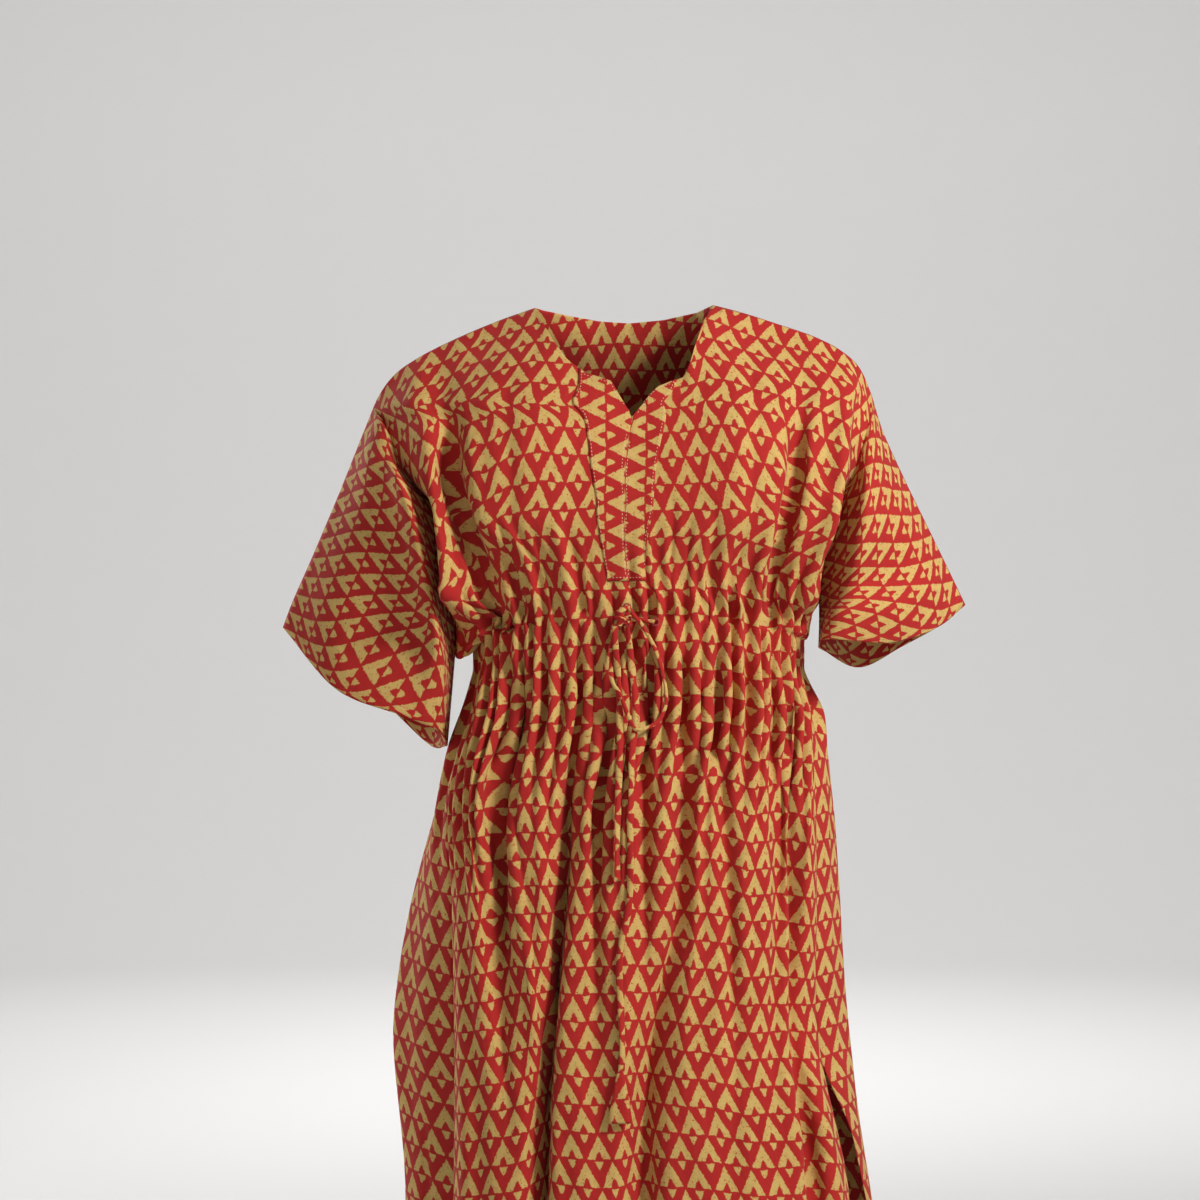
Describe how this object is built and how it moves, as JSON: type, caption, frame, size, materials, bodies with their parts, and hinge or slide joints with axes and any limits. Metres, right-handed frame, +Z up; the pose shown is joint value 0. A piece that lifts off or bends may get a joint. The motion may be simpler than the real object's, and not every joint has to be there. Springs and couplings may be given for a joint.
{
  "type": "kaftan",
  "caption": "Block-printed cotton kaftan in its worn, hollow form: wide cut-on sleeves, split neck with a shaped placket, gathered drawstring waist and slit skirt.",
  "frame": {"origin": "midway between the two neck points, on the shoulder line, where the wearer's shoulders carry the garment", "axes": "+Z up, the front of the garment faces -Y, +X towards the wearer's left sleeve, which is on the right of a front view"},
  "size_m": [0.7294, 0.3156, 1.2414],
  "materials": {
    "printed_cotton": "plain-weave cotton, block-printed with rows of ochre triangles on red",
    "placket_cotton": "the same printed cotton turned by 90 degrees, edge-stitched",
    "tie_cotton": "narrow tube sewn from the same printed cotton"
  },
  "bodies": {
    "root": {"front_panel": "printed_cotton", "back_panel": "printed_cotton", "placket": "placket_cotton", "tie_knot": "tie_cotton", "tie_cross": "tie_cotton", "tie_loop": "tie_cotton", "tie_long_end": "tie_cotton", "tie_short_end": "tie_cotton", "tie_long_tip": "tie_cotton"}
  },
  "joints": []
}
